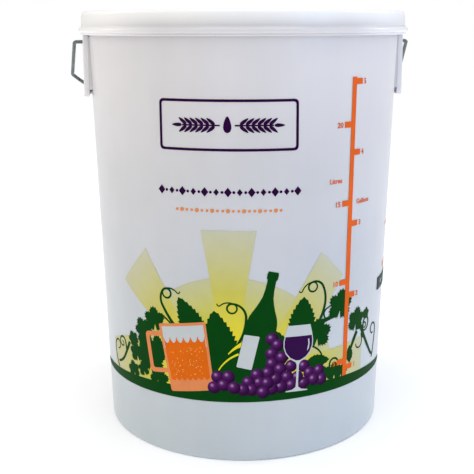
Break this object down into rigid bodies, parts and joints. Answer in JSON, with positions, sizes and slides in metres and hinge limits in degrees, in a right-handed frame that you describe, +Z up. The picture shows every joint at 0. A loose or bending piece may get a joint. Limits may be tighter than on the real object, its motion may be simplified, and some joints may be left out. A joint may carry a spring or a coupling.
{
  "type": "fermenting bucket",
  "caption": "Tapered plastic fermenting bucket with a printed volume scale, a press-on lid with an airlock grommet and a wire bail handle with a turning grip.",
  "frame": {"origin": "centre of the foot ring, on the ground", "axes": "+Z up; the handle's pivot axis lies along X; the printed front faces -Y and the handle rests against the wall on +Y"},
  "size_m": [0.3608, 0.338, 0.4135],
  "materials": {
    "bucket_plastic": "translucent white polypropylene, satin",
    "lid_plastic": "white polypropylene, satin",
    "seal_rubber": "soft pale rubber",
    "grommet_rubber": "black rubber",
    "zinc_wire": "dull zinc plated steel wire",
    "grip_plastic": "moulded white plastic",
    "thermometer_film": "black glossy film",
    "print_ink": "screen printed ink, used by the printed decoration and scale"
  },
  "bodies": {
    "bucket": {"bucket_body": "bucket_plastic", "thermometer_strip": "thermometer_film"},
    "lid": {"lid": "lid_plastic", "lid_seal_ring": "seal_rubber", "airlock_grommet": "grommet_rubber"},
    "bail": {"bail_wire": "zinc_wire"},
    "grip": {"bail_grip": "grip_plastic"}
  },
  "joints": [
    {"name": "bail_swing", "type": "hinge", "parent": "bucket", "child": "bail", "pos_m": [0, 0, 0.384], "axis": [1, 0, 0], "range_deg": [0, 238]},
    {"name": "grip_turn", "type": "hinge", "parent": "bail", "child": "grip", "pos_m": [0, 0.16255, 0.29382], "axis": [1, 0, 0], "continuous": true},
    {"name": "lid_lift", "type": "slide", "parent": "bucket", "child": "lid", "axis": [0, 0, 1], "range_m": [0, 0.15]}
  ]
}
